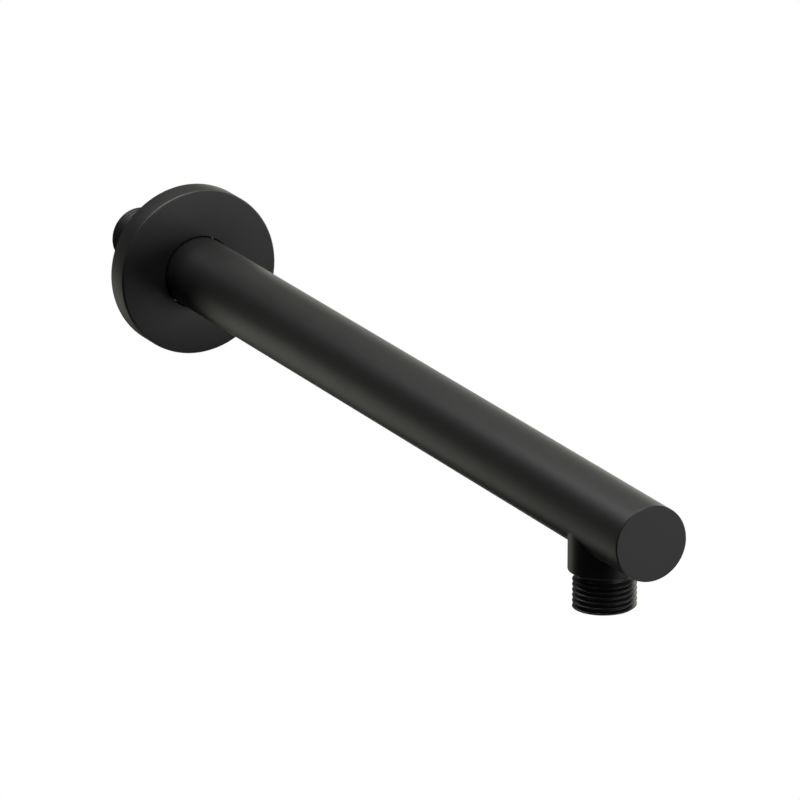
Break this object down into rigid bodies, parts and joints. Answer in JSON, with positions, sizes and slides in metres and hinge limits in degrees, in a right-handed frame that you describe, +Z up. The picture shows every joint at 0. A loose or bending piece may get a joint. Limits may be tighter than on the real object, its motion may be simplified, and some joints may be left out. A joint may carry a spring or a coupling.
{
  "type": "shower arm",
  "caption": "Straight wall-mounted shower arm in matte black: round tube with a closed end, a threaded outlet pointing down, a threaded inlet and a round sliding cover flange.",
  "frame": {"origin": "on the arm's axis in the plane of the wall, at the centre of the flange's rear rim", "axes": "+X out of the wall along the arm, +Z up, the outlet points along -Z and the inlet along -X"},
  "size_m": [0.3816, 0.0594, 0.0601],
  "materials": {
    "black_coating": "matte",
    "seal_rubber": "matte"
  },
  "bodies": {
    "arm": {"arm_tube": "black_coating", "end_cap": "black_coating", "outlet_nipple": "black_coating", "inlet_nipple": "black_coating"},
    "seal": {"flange_seal": "seal_rubber"},
    "flange": {"wall_flange": "black_coating"}
  },
  "joints": [
    {"name": "flange_slide", "type": "slide", "parent": "arm", "child": "seal", "axis": [1, 0, 0], "range_m": [-0.018, 0.287]},
    {"name": "flange_turn", "type": "hinge", "parent": "seal", "child": "flange", "pos_m": [0, 0, 0], "axis": [1, 0, 0], "continuous": true}
  ]
}
